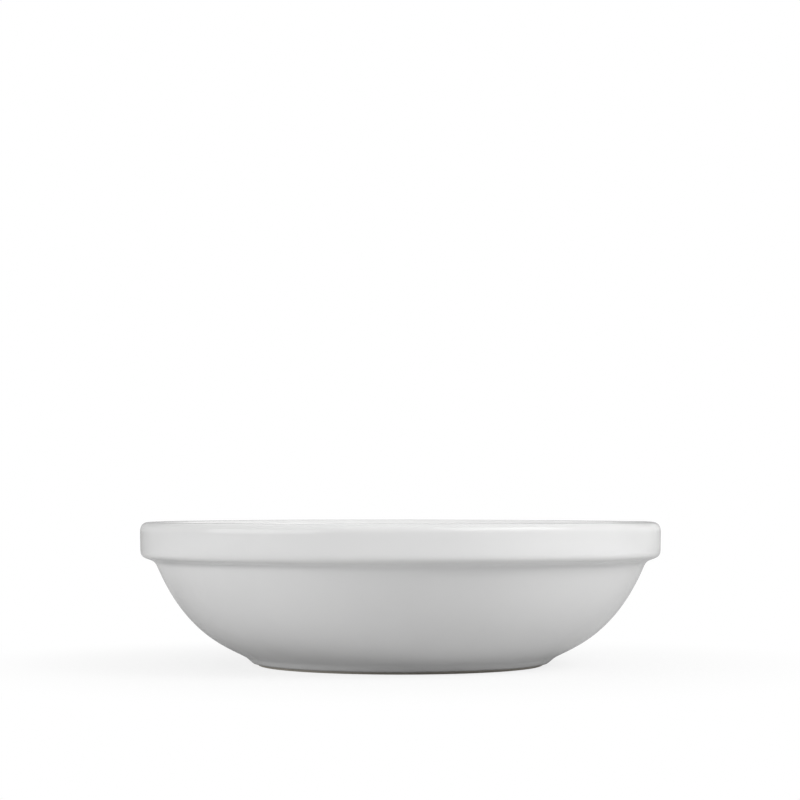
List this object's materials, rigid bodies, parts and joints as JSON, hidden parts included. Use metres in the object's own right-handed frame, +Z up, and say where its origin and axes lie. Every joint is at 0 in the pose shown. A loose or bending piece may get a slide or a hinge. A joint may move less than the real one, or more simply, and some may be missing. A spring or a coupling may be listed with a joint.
{
  "type": "shaving bowl",
  "caption": "Shallow round lather bowl of white glazed ceramic, with a deep upright rim band, a rounded wall and a short unglazed foot ring.",
  "frame": {"origin": "centre of the standing ring, on the plane that the bowl rests on", "axes": "+Z up along the bowl's axis of rotation, out of its mouth; X and Y are any two square directions across it, because it is round"},
  "size_m": [0.14, 0.14, 0.0385],
  "materials": {
    "bare_clay": "matte",
    "white_glaze": "gloss"
  },
  "bodies": {
    "root": {"clay_body": "bare_clay", "glaze_coat": "white_glaze", "foot_well_glaze": "white_glaze"}
  },
  "joints": []
}
